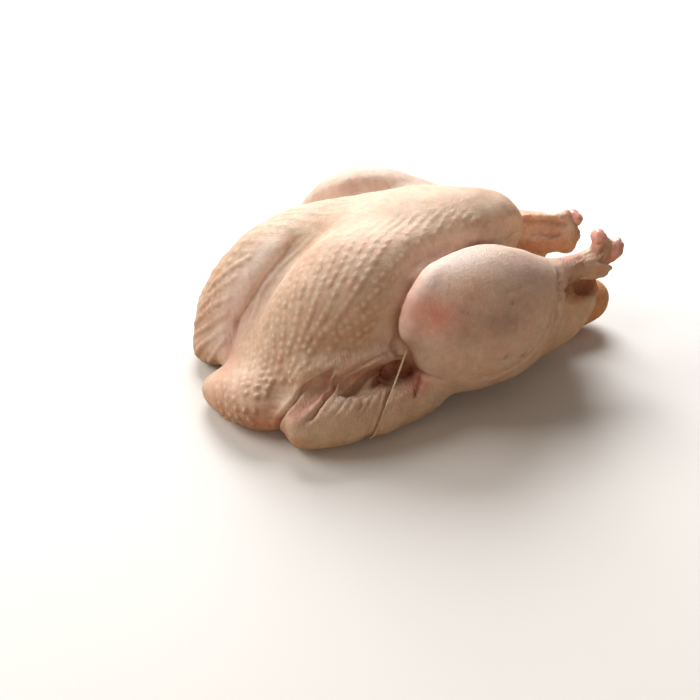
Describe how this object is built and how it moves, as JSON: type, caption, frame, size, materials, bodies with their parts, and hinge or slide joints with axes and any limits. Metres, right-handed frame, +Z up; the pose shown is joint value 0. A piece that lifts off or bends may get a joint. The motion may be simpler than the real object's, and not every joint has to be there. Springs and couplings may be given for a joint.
{
  "type": "whole raw chicken",
  "caption": "Whole raw oven-ready chicken lying on its back, wings folded and held by thin elastic, breast up, drumsticks towards the tail.",
  "frame": {"origin": "middle of the bird's plan outline, on the surface that it rests on", "axes": "+Z up (breast up), +X from the neck end towards the tail and hocks, -Y the side with the pinched wing and elastic shown in the picture"},
  "size_m": [0.2718, 0.1936, 0.1078],
  "materials": {
    "raw_skin": "moist raw skin over flesh, softly translucent, satin sheen",
    "elastic": "thin cream elastic cord"
  },
  "bodies": {
    "root": {"chicken": "raw_skin", "elastic_near": "elastic", "elastic_far": "elastic", "elastic_curl": "elastic"}
  },
  "joints": []
}
